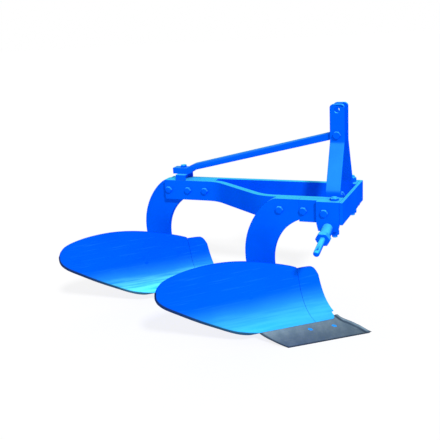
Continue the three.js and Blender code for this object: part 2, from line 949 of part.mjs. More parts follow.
// The stand: an upturned U across the rear ends of the beams.
function makeStand() {
  const right = rightBeamRearY;
  const left = leftBeamOutY;
  const low = beamTop + seatGap;
  const shape = polygon([
    [right, low],
    [right + standThick, low],
    [right + standThick, standTop - standThick],
    [left - standThick, standTop - standThick],
    [left - standThick, low],
    [left, low],
    [left, standTop],
    [right, standTop],
  ]);
  const bar = endBar(shape, standX - standWide / 2, standWide);
  return cut(bar, rodZ(standX, braceRearY, low, boltHole, 2 * standHeight, holeSides));
}

// Fasteners, made along Y with the seat of the head at y = 0 and the shank on +Y. The
// crown is how far the shank stands out above the head, or stays inside it.
const commonBolt = {
  radius: boltRadius,
  wide: boltHeadWide,
  head: boltHeadHigh,
  crown: -boltHeadHigh / 2,
  nut: nutHigh,
  tail: boltTail,
};
const thinNutBolt = { ...commonBolt, nut: thinNutHigh, tail: thinNutTail };
const clampBolt = {
  radius: clampRadius,
  wide: clampHeadWide,
  head: clampHeadHigh,
  crown: clampCrown,
  nut: clampNutHigh,
  tail: clampTail,
};

// The right clamp bolt's head is thinner than the left one's.
const lowClampBolt = { ...clampBolt, head: clampLowHeadHigh, crown: clampLowCrown };

function makeBolt(size, length) {
  const corner = size.wide / Math.sqrt(3);
  const head = new THREE.CylinderGeometry(corner, corner, size.head, 6)
    .translate(0, -size.head / 2, 0);
  const above = size.head + size.crown;
  return join(head, rodY(0, -above, 0, size.radius, length + above));
}

function makeNut(size) {
  const corner = size.wide / Math.sqrt(3);
  const hexagon = polygon(
    Array.from({ length: 6 }, (_, side) => [
      corner * Math.cos((side * Math.PI) / 3),
      corner * Math.sin((side * Math.PI) / 3),
    ]),
  );
  hexagon.holes.push(circlePath(0, 0, size.radius + boltHole - boltRadius));
  return sidePlate(hexagon, 0, size.nut);
}

// A bolt and its nut through everything between two outer faces. The head is at
// start, and turn lays the pair along the wanted way.
function fastenerPair(name, start, grip, turn, size = commonBolt) {
  const length = grip + 2 * seatGap + size.nut + size.tail;
  const pair = new THREE.Group();
  const bolt = piece(`${name}_bolt`, makeBolt(size, length));
  const nut = piece(`${name}_nut`, makeNut(size));
  bolt.position.set(0, -seatGap, 0);
  nut.position.set(0, grip + seatGap, 0);
  pair.add(bolt, nut);
  pair.position.set(...start);
  pair.rotation.set(...turn);
  return pair;
}

// The hand of each way a bolt can point: +Y, -Y and straight down.
const towardsLeft = [0, 0, 0];
const towardsRight = [Math.PI, 0, 0];
const downwards = [-Math.PI / 2, 0, 0];

function makeBody(name) {
  const body = new THREE.Group();
  body.add(piece(`${name}_leg`, makeLeg()));
  body.add(piece(`${name}_frog`, makeFrog()));
  body.add(piece(`${name}_mouldboard`, makeMouldboard()));
  body.add(piece(`${name}_shin`, makeShin()));
  body.add(piece(`${name}_share`, makeShare(), bareSteel));
  body.add(piece(`${name}_landside`, makeLandside()));
  body.add(piece(`${name}_heel`, makeHeel()));
  body.add(piece(`${name}_stay`, makeStay()));
  frogBoltXs.forEach((x, index) => {
    const bolt = piece(`${name}_frog_bolt_${index + 1}`, makeFrogBolt());
    const nut = piece(`${name}_frog_nut_${index + 1}`, makeNut(commonBolt));
    body.add(at(bolt, x, legThick + seatGap + landThick, frogBoltZ));
    body.add(at(nut, x, -2 * seatGap - frogWebThick - nutHigh, frogBoltZ));
  });
  return body;
}

function makeFrame() {
  const frame = new THREE.Group();
  frame.add(piece("right_beam", makeRightBeam()));
  frame.add(piece("left_beam", makeLeftBeam()));
  frame.add(piece("cross_plate", makeCrossPlate()));
  frame.add(piece("right_filler", makeRightFiller()));
  frame.add(piece("left_filler", makeLeftFiller()));
  frame.add(piece("rear_filler", makeRearFiller()));
  const frontGrip = legThick + seatGap + beamThick;
  const rearGrip = leftBeamOutY - rightBeamRearY;
  frame.add(fastenerPair("front_leg", [legBoltX, 0, boltZ], frontGrip, towardsLeft));
  frame.add(fastenerPair("front_filler", [fillerBoltX, 0, boltZ], frontGrip, towardsLeft));
  const names = ["rear_leg", "rear_filler_1", "rear_filler_2"];
  rearBoltXs().forEach((x, index) => {
    frame.add(fastenerPair(names[index], [x, rightBeamRearY, boltZ], rearGrip, towardsLeft));
  });
  return frame;
}

function makeHitch() {
  const hitch = new THREE.Group();
  const sides = [
    { name: "right", face: 0, side: -1, turn: towardsLeft, clamp: lowClampBolt },
    { name: "left", face: leftFillerY + legThick, side: 1, turn: towardsRight, clamp: clampBolt },
  ];
  const grip = bracketThick + legThick + beamThick + mastThick + 3 * seatGap;
  const clampGrip = beamTop - bracketFoot;
  sides.forEach(({ name, face, side, turn, clamp }) => {
    const outer = face + side * (seatGap + bracketThick);
    const middle = face - (side * legThick) / 2;
    hitch.add(piece(`${name}_hitch_bracket`, makeBracket(face, side)));
    hitch.add(piece(`${name}_hitch_pin`, makePin(face, side)));
    hitch.add(fastenerPair(`${name}_bracket`, [bracketBoltX, outer, boltZ], grip, turn));
    const clampSeat = [clampBoltX, middle, beamTop];
    hitch.add(fastenerPair(`${name}_clamp`, clampSeat, clampGrip, downwards, clamp));
  });
  return hitch;
}

function makeMast() {
  const mast = new THREE.Group();
  mast.add(piece("mast_right_leg", makeMastLeg(mastRightFootY, -1)));
  mast.add(piece("mast_left_leg", makeMastLeg(leftBeamY - seatGap, 1)));
  mast.add(piece("diagonal_brace", makeBrace()));
  mast.add(piece("brace_stand", makeStand()));
  const headOut = mastMidY - mastSlot / 2 - mastThick;
  const headGrip = mastSlot + 2 * mastThick;
  mast.add(fastenerPair("mast", [mastX, headOut, mastBoltZ], headGrip, towardsLeft));
  const braceTop = braceRearZ + braceDeep / 2;
  const braceGrip = braceTop - standTop + standThick;
  const braceSeat = [standX, braceRearY, braceTop];
  mast.add(fastenerPair("brace", braceSeat, braceGrip, downwards, thinNutBolt));
  return mast;
}

const plough = new THREE.Group();
const rearBody = makeBody("rear");
rearBody.position.set(-bodyPitch, rearLegY, 0);
plough.add(makeBody("front"), rearBody, makeFrame(), makeHitch(), makeMast());

// Centre the box over the origin, with the ground at z = 0.
const centred = new THREE.Group();
const middle = new THREE.Box3().setFromObject(plough, true).getCenter(new THREE.Vector3());
plough.position.set(-middle.x, -middle.y, 0);
centred.add(plough);

export default centred;
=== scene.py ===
# %% [markdown]
# # A two-furrow mounted plough
#
# This file is a lesson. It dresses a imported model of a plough: two curved legs hang
# from a frame of flat bars, and each carries a bare share, a shin and a long twisted
# mouldboard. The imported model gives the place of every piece. Here each piece gets its
# rounded edges, its fine surface and its paint, and then the camera and the light.
#
# Lengths of the plough are written in millimetres and changed to metres in one place.
# The sizes inside the materials are in metres from the start.

import math

import bpy
import numpy as np
from mathutils import Matrix, Vector


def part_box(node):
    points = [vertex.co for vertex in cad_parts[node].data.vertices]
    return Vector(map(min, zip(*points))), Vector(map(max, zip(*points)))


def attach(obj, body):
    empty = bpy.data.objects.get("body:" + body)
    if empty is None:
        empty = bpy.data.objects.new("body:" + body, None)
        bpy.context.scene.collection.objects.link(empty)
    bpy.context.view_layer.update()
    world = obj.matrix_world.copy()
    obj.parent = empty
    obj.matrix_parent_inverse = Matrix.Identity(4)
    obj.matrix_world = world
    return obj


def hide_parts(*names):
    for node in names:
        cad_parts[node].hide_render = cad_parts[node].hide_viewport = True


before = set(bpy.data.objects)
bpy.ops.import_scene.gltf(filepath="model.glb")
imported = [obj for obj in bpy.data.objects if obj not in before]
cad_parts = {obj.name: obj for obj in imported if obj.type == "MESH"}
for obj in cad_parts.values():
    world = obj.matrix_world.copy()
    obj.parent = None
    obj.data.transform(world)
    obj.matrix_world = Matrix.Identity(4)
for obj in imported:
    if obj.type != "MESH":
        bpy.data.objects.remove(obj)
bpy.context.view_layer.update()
print("pieces in the packed model:", len(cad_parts))

# %% [markdown]
# ## One set of axes for the whole plough
#
# The plough was drawn with its zero at the point of the front share in x and at the
# right face of the front leg in y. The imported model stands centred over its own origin.
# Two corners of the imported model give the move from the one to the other, so every
# length below can be read straight from a drawing.

# %% From drawing millimetres to scene metres
MM = 0.001
drawing_origin = np.array([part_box("front_share")[1].x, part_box("front_leg")[0].y, 0.0])
body_step = np.array([-546.0, 232.0, 0.0])


def placed(points):
    """Scene metres of drawing points: points times 0.001, plus the drawing's origin."""
    return np.asarray(points, float) * MM + drawing_origin


print("drawing origin in the scene:", drawing_origin.round(4))

# %% [markdown]
# ## Making a mesh from arrays
#
# Each new piece is worked out as whole arrays of points. Two kinds of grid are enough
# for a plough: a plate, which has a front and a back, and a turned piece, which is a
# profile carried round an axis. Both are closed, and a closed surface has a signed
# volume, so its sign tells whether the faces look outwards.

# %% Build a closed mesh with its faces outwards
crease_angle = 35.0


def outward(points, faces):
    """Faces turned outwards: the sum of p0 . (p1 x p2) over the triangles is six times
    the volume, and where it is negative every face is reversed."""
    corners = points - points.mean(axis=0)
    total = 0.0
    for group in faces:
        for k in range(1, group.shape[1] - 1):
            a, b, c = corners[group[:, 0]], corners[group[:, k]], corners[group[:, k + 1]]
            total += np.einsum("ij,ij->", a, np.cross(b, c))
    return [group[:, ::-1] for group in faces] if total < 0 else faces


def added(name, data):
    """A new object at the origin, linked into the scene."""
    thing = bpy.data.objects.new(name, data)
    bpy.context.scene.collection.objects.link(thing)
    return thing


def smoothed(mesh, smooth_angle):
    """Smooth shading, except along edges sharper than smooth_angle degrees."""
    mesh.shade_smooth()
    mesh.set_sharp_from_angle(angle=math.radians(smooth_angle))


def make_piece(name, points, faces, smooth_angle=crease_angle):
    """A new object at the origin whose mesh has these scene points and faces."""
    faces = outward(points, faces)
    mesh = bpy.data.meshes.new(name)
    mesh.from_pydata(points.tolist(), [], [row for group in faces for row in group.tolist()])
    smoothed(mesh, smooth_angle)
    mesh.update()
    return added(name, mesh)


# %% Join a front grid and a back grid into a closed plate


def plate_faces(rows, columns):
    """Quads of a closed plate: the front grid, the back grid reversed, and a strip
    round the rim between them."""
    index = np.arange(rows * columns).reshape(rows, columns)
    back = rows * columns
    quad = np.stack([index[:-1, :-1], index[1:, :-1], index[1:, 1:], index[:-1, 1:]], axis=-1)
    quad = quad.reshape(-1, 4)
    rim = np.concatenate([index[:-1, 0], index[-1, :-1], index[:0:-1, -1], index[0, :0:-1]])
    following = np.roll(rim, -1)
    side = np.stack([following, rim, rim + back, following + back], axis=-1)
    return np.concatenate([quad, quad[:, ::-1] + back, side])


def plate(name, front, rear):
    """A closed plate from two grids of drawing points, front and rear."""
    rows, columns = front.shape[:2]
    points = placed(np.concatenate([front.reshape(-1, 3), rear.reshape(-1, 3)]))
    return make_piece(name, points, [plate_faces(rows, columns)])


# %% [markdown]
# ## Shader maths as Python
#
# A material is a graph of nodes. Written out node by node it is long and hard to read.
# Here a value of the graph is wrapped, and sums and products of it add the Math nodes,
# so a mask reads like a formula. Every other node comes from one method.

# %% The wrapped value and the graph it belongs to


class Value:
    """A number that changes over the surface; arithmetic on it adds Math nodes."""

    def __init__(self, graph, socket):
        self.graph = graph
        self.socket = socket

    def __add__(self, other):
        return self.graph.maths("ADD", self, other)

    def __sub__(self, other):
        return self.graph.maths("SUBTRACT", self, other)

    def __rsub__(self, other):
        return self.graph.maths("SUBTRACT", other, self)

    def __mul__(self, other):
        return self.graph.maths("MULTIPLY", self, other)

    __radd__ = __add__
    __rmul__ = __mul__

    def clamped(self):
        """The same number, held between 0 and 1."""
        return self.graph.maths("MULTIPLY", self, 1.0, clamp=True)


class Graph:
    """The node graph of one material, or of the world when one is given."""

    def __init__(self, name, owner=None):
        self.material = owner or bpy.data.materials.new(name)
        self.material.use_nodes = True
        self.tree = self.material.node_tree
        self.tree.nodes.clear()

    def make(self, kind, settings=None, inputs=None, output=0):
        """Adds a node: its settings first, then values or links on its sockets."""
        node = self.tree.nodes.new(kind)
        for key, setting in (settings or {}).items():
            setattr(node, key, setting)
        for key, value in (inputs or {}).items():
            if isinstance(value, Value):
                self.tree.links.new(value.socket, node.inputs[key])
            else:
                node.inputs[key].default_value = value
        return Value(self, node.outputs[output]) if node.outputs else None

    def maths(self, operation, first, second, clamp=False):
        """One sum or product of two numbers."""
        settings = {"operation": operation, "use_clamp": clamp}
        return self.make("ShaderNodeMath", settings, {0: first, 1: second})

    def between(self, value, low, high):
        """0 below low, 1 above high, and a smooth step between them."""
        settings = {"interpolation_type": "SMOOTHSTEP"}
        return self.make(
            "ShaderNodeMapRange", settings, {"Value": value, "From Min": low, "From Max": high}
        )

    def blend(self, share, first, second):
        """A colour between two colours."""
        settings = {"data_type": "RGBA"}
        return self.make("ShaderNodeMix", settings, {0: share, 6: first, 7: second}, 2)

    def noise(self, place, scale, detail=2.0, roughness=0.5):
        """Smooth noise: scale is how many bumps there are to the metre, and detail how many
        finer layers lie over them."""
        inputs = {"Vector": place, "Scale": scale, "Detail": detail, "Roughness": roughness}
        return self.make("ShaderNodeTexNoise", {}, inputs)

    def place(self, kind="Object"):
        """A point's place on its piece, or with "Normal" the way that the face looks."""
        return self.make("ShaderNodeTexCoord", {}, {}, kind)

    def own_map(self, name):
        """A plate's own map of that name."""
        return self.make("ShaderNodeUVMap", {"uv_map": name}, {}, 0)

    def part(self, vector, axis):
        """One of the three numbers of a vector."""
        return self.make("ShaderNodeSeparateXYZ", {}, {"Vector": vector}, axis)

    def stretched(self, place, factors):
        """The place multiplied by three factors, which squeezes a pattern along each axis."""
        return self.make("ShaderNodeVectorMath", {"operation": "MULTIPLY"}, {0: place, 1: factors})

    def bump(self, height, depth):
        """The normal of a surface raised by height times depth in metres."""
        inputs = {"Height": height, "Distance": depth, "Strength": 1.0}
        return self.make("ShaderNodeBump", {}, inputs)

    def seen_directly(self):
        """1 for camera, mirror and glass rays, and 0 for the rays that carry light."""
        kinds = ("Is Camera Ray", "Is Glossy Ray", "Is Transmission Ray")
        camera, mirror, glass = (self.make("ShaderNodeLightPath", {}, {}, kind) for kind in kinds)
        return (camera + mirror + glass).clamped()

    def finish(self, shader):
        """Joins the shader to the material's output."""
        self.make("ShaderNodeOutputMaterial", {}, {"Surface": shader})
        return self.material


# %% [markdown]
# ## Blue enamel
#
# The plough is sprayed with a strong blue enamel. Up close a sprayed coat is never flat:
# it has a fine orange-peel skin and slow changes of thickness. Faces that look upwards
# are painted lighter, as painted light from above. One function makes the enamel. It
# takes how lively the mottle is and how deep the skin, so that bars, castings and bolts
# can differ a little.

# %% Colours of the enamel, as scene-linear values
BLUE_DEEP = (0.0, 0.080, 0.78, 1.0)
BLUE_FULL = (0.0, 0.118, 0.95, 1.0)
# Painted top light on upward faces; the boards' light streaks take this blue too.
BLUE_TOP_LIGHT_AND_STREAK = (0.065, 0.68, 0.92, 1.0)
# Painted highlight of the boards' low part, and painted top light of the face bolts.
BLUE_PAINTED_PALE_LIGHT = (0.022, 0.33, 0.82, 1.0)
BLUE_WORN = (0.085, 0.58, 0.86, 1.0)
# Painted highlight on the brace's top.
BLUE_GLARE = (0.05, 0.36, 0.88, 1.0)
# Painted shade along the boards' lower edges and the shares' rims.
RIM_PAINTED_SHADE = (0.012, 0.026, 0.050, 1.0)
GLOSS_TINT = (0.0, 0.22, 1.0, 1.0)
print("deep, full and sky blue:", BLUE_DEEP[:3], BLUE_FULL[:3], BLUE_TOP_LIGHT_AND_STREAK[:3])

# %% The coat that every painted piece has
# Bumps to the metre, and finer layers over them, of each noise.
slow_noise, fine_noise, skin_noise = (9.0, 3.0), (340.0, 1.0), (90.0, 2.0)
thin_coat, full_coat = 0.35, 0.65
coat_metallic, coat_roughness, roughness_drift = 0.28, 0.34, 0.12
grain_share, peel_depth, lively_peel_depth = 0.5, 0.00012, 0.00016


def coat_noises(graph):
    """Three noises by place: the coat's slow thickness, its fine grain and its skin."""
    place = graph.place()
    return [graph.noise(place, *kind) for kind in (slow_noise, fine_noise, skin_noise)]


def coat_blue(graph, slow, mottle):
    """Full blue where the coat is thick, and the share mottle towards deep blue where it
    is thin."""
    thick = graph.between(slow, thin_coat, full_coat) * mottle + (1.0 - mottle)
    return graph.blend(thick, BLUE_DEEP, BLUE_FULL)


def glossy_paint(graph, colour, rough, height, peel=peel_depth):
    """The paint's shader: a tinted gloss that keeps reflections blue, and a bump."""
    inputs = {
        "Base Color": colour,
        "Metallic": coat_metallic,
        "Roughness": rough,
        "Specular IOR Level": 0.0,
        "Specular Tint": GLOSS_TINT,
        "Normal": graph.bump(height, peel),
    }
    return graph.finish(graph.make("ShaderNodeBsdfPrincipled", {}, inputs))


# %% Enamel of bars, castings and bolts
# Painted top light: how far slow noise moves where it starts, its least strength and drift.
top_light_wander, top_light_least, top_light_drift = 0.12, 0.9, 0.2
brace_opens, bolt_mottle = (0.3, 1.0), 0.5


def enamel(name, light=BLUE_TOP_LIGHT_AND_STREAK, opens=(0.11, 1.0), mottle=0.25, peel=peel_depth):
    """Sprayed enamel: colour = deep to full blue by slow noise, then towards the light
    colour, a painted top light, as the upward share of the normal goes from opens[0] to
    opens[1]. Bump = the orange-peel noise of a few millimetres."""
    graph = Graph(name)
    slow, fine, skin = coat_noises(graph)
    # Painted top light: upward faces are painted towards the light colour.
    upward = graph.part(graph.place("Normal"), "Z") + top_light_wander * (slow - 0.5)
    painted_top_light = graph.between(upward, *opens) * (top_light_least + top_light_drift * slow)
    colour = graph.blend(painted_top_light.clamped(), coat_blue(graph, slow, mottle), light)
    rough = coat_roughness + roughness_drift * slow
    return glossy_paint(graph, colour, rough, grain_share * fine + skin, peel)


frame_enamel = enamel("frame_enamel")
# The brace's top takes the glare blue as a painted highlight.
brace_enamel = enamel("brace_enamel", light=BLUE_GLARE, opens=brace_opens)
bolt_enamel = enamel("bolt_enamel", mottle=bolt_mottle, peel=lively_peel_depth)
print("enamels:", frame_enamel.name, brace_enamel.name, bolt_enamel.name)

# %% [markdown]
# The boards are sprayed with the same blue, but soil slides over them. Low on the face,
# where the plate turns up to the light, the blue is painted pale as a painted highlight.
# Fine streaks run along the way of the soil. Behind the share a dark band of painted
# shade runs along the lower edge. Two maps on the plate give the way along and up the
# face, and the distance from that edge.

# %% Places and strengths of the face's painted light, painted shade and wear
pale_below, full_above, pale_wander = 0.078, 0.184, 0.024
board_mottle = 0.2
streak_squeeze, streak_noise = (9.0, 120.0, 1.0), (1.0, 3.0)
streak_light, streak_light_share = (0.55, 0.75), 0.06
streak_rough, streak_roughness, streak_height = (0.35, 0.7), 0.10, 0.6
patch_low, patch_streaks, patch_drift = (0.55, 1.0), (0.45, 0.75), 0.3
rim_width, rim_wander, rim_shade_cover = 0.0125, 0.0016, 0.92
rim_starts, rim_full, rim_held_off = 0.19, 0.24, 0.016
rim_inner, rim_outer = rim_width * 0.7, rim_width * 1.3
front_worn, rear_worn = 0.2, 0.9

# %% Enamel of the working face


def board_enamel(name, worn):
    """Face enamel: colour = full blue above full_above, painted pale below pale_below as a
    painted highlight, paler still by worn where streaks meet the low part, and dark within
    rim_width of the lower edge as painted shade. That band fades in as the reach goes from
    rim_starts to rim_full."""
    graph = Graph(name)
    slow, fine, skin = coat_noises(graph)
    plate_map = graph.own_map("plate")
    reach, up = graph.part(plate_map, "X"), graph.part(plate_map, "Y")
    from_edge = graph.part(graph.own_map("rim"), "X")
    drawn = graph.noise(graph.stretched(plate_map, streak_squeeze), *streak_noise)
    # Painted highlight: the low part of the face is painted pale.
    low = 1.0 - graph.between(up + pale_wander * (slow - 0.5), pale_below, full_above)
    colour = graph.blend(low, coat_blue(graph, slow, board_mottle), BLUE_PAINTED_PALE_LIGHT)
    patch = graph.between(low, *patch_low)
    patch = patch * graph.between(drawn + patch_drift * slow, *patch_streaks)
    colour = graph.blend(patch * worn, colour, BLUE_WORN)
    light = graph.between(drawn, *streak_light) * streak_light_share
    colour = graph.blend(light, colour, BLUE_TOP_LIGHT_AND_STREAK)
    # Painted shade: a dark band along the lower edge, held off near the share.
    held_off = rim_held_off * (1.0 - graph.between(reach, rim_starts, rim_full))
    inward = from_edge + rim_wander * slow + held_off
    rim = 1.0 - graph.between(inward, rim_inner, rim_outer)
    colour = graph.blend(rim * rim_shade_cover, colour, RIM_PAINTED_SHADE)
    rough = coat_roughness + roughness_drift * slow
    rough = rough + streak_roughness * graph.between(drawn, *streak_rough)
    height = grain_share * fine + skin + streak_height * drawn
    return glossy_paint(graph, colour, rough, height)


face_enamels = {
    "front": board_enamel("front_face_enamel", front_worn),
    "rear": board_enamel("rear_face_enamel", rear_worn),
}
print("face enamels:", [material.name for material in face_enamels.values()])

# %% [markdown]
# ## Bare steel of the shares
#
# A share is the piece that wears, so it is bolted on bare: dark, bluish rolled steel with
# fine scratches along its length. Along its cut edges and at the foot of the low fin on
# its land side a dark band of painted shade is drawn. The plate's own map gives the way
# along and up the share, and scratches are noise that is long in the one and short in
# the other.

# %% Steel with scratches and painted shade along its edges
STEEL_DARK = (0.098, 0.150, 0.200, 1.0)
STEEL_MID = (0.128, 0.184, 0.232, 1.0)
STEEL_BRIGHT = (0.24, 0.30, 0.36, 1.0)
# Bumps to the metre, finer layers over them, and how strong those are.
mill_noise, spot_noise, scratch_noise = (28.0, 5.0, 0.6), (160.0, 3.0, 0.6), (1.0, 2.0)
mill_range, spot_range, scratch_range = (0.36, 0.66), (0.56, 0.7), (0.58, 0.72)
spot_cover, scratch_cover, edge_shade_cover = 0.35, 0.18, 0.85
scratch_squeeze, scratch_depth, spot_height = (14.0, 900.0, 1.0), 0.00012, 0.5
edge_width, edge_wander = 0.010, 0.002
edge_inner, edge_outer = edge_width * 0.5, edge_width * 1.5
steel_metallic, steel_roughness, mill_polish = 0.9, 0.62, 0.12


def bare_steel(name):
    """Rolled steel: colour by mill-scale noise, darker in spots, and painted shade within
    edge_width of the rims that the plate's map names; roughness by the same scale, and
    bump from scratches drawn out along the plate."""
    graph = Graph(name)
    place = graph.place()
    from_edge = graph.part(graph.own_map("rim"), "X")
    mill, spots = graph.noise(place, *mill_noise), graph.noise(place, *spot_noise)
    along = graph.stretched(graph.own_map("plate"), scratch_squeeze)
    scratch = graph.noise(along, *scratch_noise)
    body = graph.blend(graph.between(mill, *mill_range), STEEL_DARK, STEEL_MID)
    body = graph.blend(graph.between(spots, *spot_range) * spot_cover, body, STEEL_DARK)
    bright = graph.between(scratch, *scratch_range) * scratch_cover
    body = graph.blend(bright, body, STEEL_BRIGHT)
    # Painted shade: dark within edge_width of the named rims.
    edge = 1.0 - graph.between(from_edge + edge_wander * mill, edge_inner, edge_outer)
    inputs = {
        "Base Color": graph.blend(edge * edge_shade_cover, body, RIM_PAINTED_SHADE),
        "Metallic": steel_metallic,
        "Roughness": steel_roughness - mill_polish * mill,
        "Normal": graph.bump(scratch + spot_height * spots, scratch_depth),
    }
    return graph.finish(graph.make("ShaderNodeBsdfPrincipled", {}, inputs))


share_steel = bare_steel("share_steel")
print("steel:", share_steel.name)

# %% [markdown]
# ## Hand a piece over
#
# Every finished piece rides on the plough's one rigid body, stands for the solid that it
# was made from, and gets its material.

# %% The last call for each piece
made = {}
rim_segments, rim_angle = 2, 40.0


def hand_over(piece, material, nodes=()):
    """Gives a piece its finish, its body and the solids that it stands for."""
    piece.data.materials.clear()
    piece.data.materials.append(material)
    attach(piece, "root")
    if nodes:
        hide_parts(*nodes)
    made[piece.name] = piece
    return piece


def round_rims(piece, width, angle=rim_angle):
    """A bevel along every edge sharper than angle degrees, width in millimetres."""
    bevel = piece.modifiers.new("rim", "BEVEL")
    bevel.width = width * MM
    bevel.segments = rim_segments
    bevel.limit_method = "ANGLE"
    bevel.angle_limit = math.radians(angle)
    bevel.harden_normals = True
    return piece


# %% [markdown]
# ## The working face
#
# Share, shin and mouldboard lie on one surface. Seen from above it is made of straight
# level lines that leave the shin backwards and to the right. The angle of these lines
# grows with height, and that is what turns the slice over. The shin itself is a smooth
# curve that rises from the share's point. It could be sculpted, but a formula keeps
# every level line straight, as on the real plate.

# %% The shin's curve and the level lines
land_plane = 37.0
shin_curve = np.array([[0.0, 0.0], [-222.0, 56.0], [-203.0, 197.0], [-206.0, 340.0]])
share_angle, top_angle, face_top = 38.5, 51.0, 340.0
curve_steps = 2001

t = np.linspace(0.0, 1.0, curve_steps)[:, None]
shin_line = (
    (1 - t) ** 3 * shin_curve[0]
    + 3 * (1 - t) ** 2 * t * shin_curve[1]
    + 3 * (1 - t) * t**2 * shin_curve[2]
    + t**3 * shin_curve[3]
)


def shin_x(z):
    """The shin's x at a height: looked up on its curve, and straight on below ground."""
    below = z * shin_curve[1, 0] / shin_curve[1, 1]
    return np.where(z <= 0, below, np.interp(z, shin_line[:, 1], shin_line[:, 0]))


def face_point(reach, z):
    """x = shin x less reach times the cotangent of the line's angle, y = land plane less
    reach, z = height."""
    angle = np.radians(share_angle + (top_angle - share_angle) * z / face_top)
    return np.stack([shin_x(z) - reach / np.tan(angle), land_plane - reach, z], axis=-1)


shin_length = np.linalg.norm(np.diff(shin_line, axis=0), axis=1).sum()
print("length of the shin's curve, mm:", shin_length.round(1))

# %% [markdown]
# A plate has a thickness, and its back is the same surface moved inwards. Behind the
# mouldboard the way in is square to the face. Down at the share it turns level, so that
# the underside of the share lies flat on the ground.

# %% Points at a depth behind the face
plate_thick = 8.0
share_height = 46.0


def behind_face(reach, z, depth):
    """Face point plus depth times a direction: the way in square to the face above the
    share, turned level towards the cutting edge."""
    along = face_point(reach - 1, z) - face_point(reach + 1, z)
    up = face_point(reach, z + 1) - face_point(reach, z - 1)
    normal = np.cross(along, up)
    normal /= np.linalg.norm(normal, axis=-1, keepdims=True)
    level = normal * np.array([-1.0, -1.0, 0.0])
    level /= (level**2).sum(axis=-1, keepdims=True)
    share = np.clip(z / share_height, 0, 1)[..., None]
    depth = np.asarray(depth, float)[..., None]
    return face_point(reach, z) + depth * (level + (-normal - level) * share)


# %% [markdown]
# ## The outlines of the plates
#
# The seam between shin and mouldboard bows a little. The top edge of the mouldboard
# rises from the seam and falls to a rounded tail, and the lower edge runs straight along
# the share and then climbs. Each edge is a smooth line through a few points, given as
# shares of the mouldboard's reach and height. At half its height the shin's edge bows
# out of the land plane. The share laps up the shin with a short nose, where the shin
# has a notch, and carries a low fin along its land side.

# %% Smooth lines through given points
seat_gap, seam_gap = 0.3, 0.8
seam_foot, seam_head, seam_bow, seam_height = 66.0, 58.0, 9.0, 247.0
seam_bottom = share_height + seat_gap
# The reach is 0.3 mm short of the solid's, so that the finer tail stays inside it.
mould_reach, mould_height, shin_height = 457.7, 336.0, 242.0
top_edge = np.array(
    [[0.127, 0.735], [0.245, 0.823], [0.41, 0.914], [0.57, 0.978], [0.71, 1.0]]
    + [[0.84, 0.985], [0.93, 0.949], [0.981, 0.905], [1.0, 0.845]]
) * [mould_reach, mould_height]
low_edge = np.array(
    [[0.144, 0.138], [0.386, 0.138], [0.508, 0.138], [0.592, 0.15], [0.694, 0.296]]
    + [[0.825, 0.472], [0.925, 0.598], [0.977, 0.69], [0.999, 0.775]]
) * [mould_reach, mould_height]
shin_top = np.array([[0, 0.845], [0.1, 0.93], [0.24, 0.98], [0.55, 0.995], [1, 1]])
shin_top = shin_top * [1, shin_height]


def smooth_line(points, share):
    """Catmull-Rom line through points: on each span a cubic whose slopes at its ends are
    half the step between the neighbouring points."""
    place = np.clip(share, 0, 1) * (len(points) - 1)
    span = np.minimum(place.astype(int), len(points) - 2)
    w = (place - span)[..., None]
    before = points[np.maximum(span - 1, 0)]
    first, second = points[span], points[span + 1]
    after = points[np.minimum(span + 2, len(points) - 1)]
    v0, v1 = (second - before) / 2, (after - first) / 2
    cubic = (2 * first - 2 * second + v0 + v1) * w**3
    square = (-3 * first + 3 * second - 2 * v0 - v1) * w**2
    return cubic + square + v0 * w + first


def seam_reach(z):
    """Reach of the seam: straight from foot to head, less a bow of 4 u (1 - u)."""
    up = (z - seam_bottom) / (seam_height - seam_bottom)
    return seam_foot + (seam_head - seam_foot) * up - seam_bow * 4 * up * (1 - up)


print("reach of the seam at its middle, mm:", seam_reach((seam_bottom + seam_height) / 2))

# %% Reach and height over the mouldboard


def mouldboard_outline(across, up):
    """Straight from the low edge to the top edge, drawn to the seam near across = 0."""
    top, low = smooth_line(top_edge, across), smooth_line(low_edge, across)
    reach, z = np.moveaxis(low + (top - low) * up[..., None], -1, 0)
    seam_share = (1 - across) ** 4
    seam_z = seam_bottom + (seam_height - seam_bottom) * up
    reach = reach + (seam_reach(seam_z) + seam_gap - reach) * seam_share
    z = z + (seam_z - z) * seam_share
    return reach, np.maximum(z, np.where(across < 1, seam_bottom * (1 - up), 0))


# %% Where the shin and the share depart from plain bands
proud_most, proud_low, proud_top = 6.2, 72.0, 262.0
nose_rise, nose_full, nose_end = 11.0, 5.0, 22.0
notch_rise, notch_full, notch_end = 12.0, 5.0, 13.0
fin_rise, fin_full, fin_end, fin_foot = 10.5, 3.0, 7.0, 13.0
fin_point_cut, fin_point_end = 0.65, 14.0
fin_fades, fin_gone = 20.0, 52.0


def proud(z):
    """How far the shin's edge stands out of the land plane: half a sine wave."""
    share = np.clip((z - proud_low) / (proud_top - proud_low), 0, 1)
    return proud_most * np.sin(np.pi * share)


def falling(reach, full, end):
    """1 below full, 0 above end, and 1 - s^2 (3 - 2 s) between them."""
    s = np.clip((reach - full) / (end - full), 0, 1)
    return 1 - s**2 * (3 - 2 * s)


def nose(reach):
    """The share's nose: near the land side its top edge laps up the shin."""
    return nose_rise * falling(reach, nose_full, nose_end)


def fin(reach, z):
    """Height of the low fin along the share's land side: full up to fin_full of reach,
    gone at fin_end, lower at the point and gone again where the shin begins."""
    point = 1 - fin_point_cut * falling(z, 0.0, fin_point_end)
    rise = point * falling(z, fin_fades, fin_gone)
    return fin_rise * rise * falling(reach, fin_full, fin_end)


print("the shin's edge stands out by, mm:", proud((proud_low + proud_top) / 2))

# %% Reach and height over the shin and the share
share_width, share_flare = 200.0, 5.0


